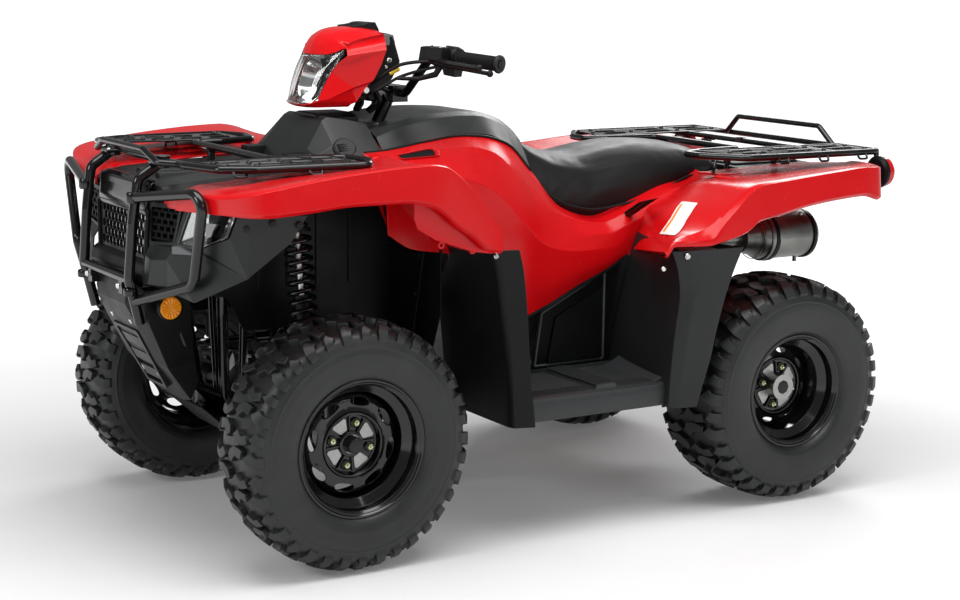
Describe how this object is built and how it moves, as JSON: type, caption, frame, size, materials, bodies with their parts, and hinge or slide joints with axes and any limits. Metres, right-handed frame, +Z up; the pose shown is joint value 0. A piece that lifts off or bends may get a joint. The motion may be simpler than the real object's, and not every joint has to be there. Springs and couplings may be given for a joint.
{
  "type": "quad bike",
  "caption": "Utility quad bike with front and rear racks, tube guard, straddle seat, handlebar steering, independent front arms and a solid rear axle.",
  "frame": {"origin": "on the ground under the middle of the overall length, on the vehicle's centre plane", "axes": "+X forward, +Y to the rider's left, +Z up"},
  "size_m": [2.1248, 1.2, 1.2481],
  "materials": {
    "tyre": "matt",
    "rim": "gloss",
    "hub": "satin",
    "frame": "satin",
    "engine": "cast",
    "red_plastic": "gloss",
    "dark_plastic": "satin",
    "rack": "gloss",
    "vinyl": "satin",
    "rubber": "matt",
    "lens": "clear",
    "amber": "gloss",
    "red_lens": "gloss",
    "steel": "brushed",
    "radiator": "matt"
  },
  "bodies": {
    "chassis": {"a_arms_left": "frame", "a_arms_right": "frame", "engine": "engine", "exhaust": "steel", "fascia": "dark_plastic", "footboard_left": "dark_plastic", "footboard_right": "dark_plastic", "frame": "frame", "front_bumper": "rack", "front_differential": "engine", "front_fenders": "red_plastic", "front_guard": "rack", "front_hood": "dark_plastic", "front_mudguards": "dark_plastic", "front_rack": "rack", "front_shock_left": "frame", "front_shock_right": "frame", "grille": "dark_plastic", "half_shafts": "frame", "headlamps": "lens", "radiator": "radiator", "rear_deck": "dark_plastic", "rear_fenders": "red_plastic", "rear_mudguards": "dark_plastic", "rear_rack": "rack", "rear_shocks": "frame", "reflectors": "amber", "seat": "vinyl", "side_covers": "red_plastic", "side_panels": "dark_plastic", "skid_plate": "dark_plastic", "swingarm": "frame", "tail_lamps": "red_lens", "tank_cover": "dark_plastic"},
    "steering": {"steering_stem": "frame", "handlebar": "frame", "grips": "rubber", "control_left": "dark_plastic", "control_right": "dark_plastic", "pod_shell": "red_plastic", "pod_lens": "lens", "pod_cover": "dark_plastic"},
    "knuckle_left_body": {"knuckle_left": "frame"},
    "tie_rod_left_body": {"tie_rod_left": "frame"},
    "wheel_front_left": {"hub_front_left": "hub", "rim_front_left": "rim", "tyre_front_left": "tyre"},
    "knuckle_right_body": {"knuckle_right": "frame"},
    "tie_rod_right_body": {"tie_rod_right": "frame"},
    "wheel_front_right": {"hub_front_right": "hub", "rim_front_right": "rim", "tyre_front_right": "tyre"},
    "rear_wheels": {"rear_axle": "hub", "rim_rear_left": "rim", "rim_rear_right": "rim", "tyre_rear_left": "tyre", "tyre_rear_right": "tyre"}
  },
  "joints": [
    {"name": "steering_turn", "type": "hinge", "parent": "chassis", "child": "steering", "pos_m": [0.602, 0, 0.424], "axis": [-0.454, 0, 0.891], "range_deg": [-38, 38]},
    {"name": "knuckle_left_turn", "type": "hinge", "parent": "chassis", "child": "knuckle_left_body", "pos_m": [0.647, 0.392, 0.3], "axis": [0, 0, 1], "range_deg": [-31, 31]},
    {"name": "tie_rod_left_turn", "type": "hinge", "parent": "knuckle_left_body", "child": "tie_rod_left_body", "pos_m": [0.587, 0.372, 0.372], "axis": [0, 0, 1], "range_deg": [-31, 31]},
    {"name": "wheel_front_left_spin", "type": "hinge", "parent": "knuckle_left_body", "child": "wheel_front_left", "pos_m": [0.647, 0.467, 0.3], "axis": [0, 1, 0], "continuous": true},
    {"name": "knuckle_right_turn", "type": "hinge", "parent": "chassis", "child": "knuckle_right_body", "pos_m": [0.647, -0.392, 0.3], "axis": [0, 0, 1], "range_deg": [-31, 31]},
    {"name": "tie_rod_right_turn", "type": "hinge", "parent": "knuckle_right_body", "child": "tie_rod_right_body", "pos_m": [0.587, -0.372, 0.372], "axis": [0, 0, 1], "range_deg": [-31, 31]},
    {"name": "wheel_front_right_spin", "type": "hinge", "parent": "knuckle_right_body", "child": "wheel_front_right", "pos_m": [0.647, -0.467, 0.3], "axis": [0, 1, 0], "continuous": true},
    {"name": "rear_wheels_spin", "type": "hinge", "parent": "chassis", "child": "rear_wheels", "pos_m": [-0.647, 0, 0.3], "axis": [0, 1, 0], "continuous": true}
  ],
  "couplings": [
    {"joint": "knuckle_left_turn", "follows": "steering_turn", "ratio": 0.8},
    {"joint": "tie_rod_left_turn", "follows": "steering_turn", "ratio": -0.8},
    {"joint": "knuckle_right_turn", "follows": "steering_turn", "ratio": 0.8},
    {"joint": "tie_rod_right_turn", "follows": "steering_turn", "ratio": -0.8}
  ]
}
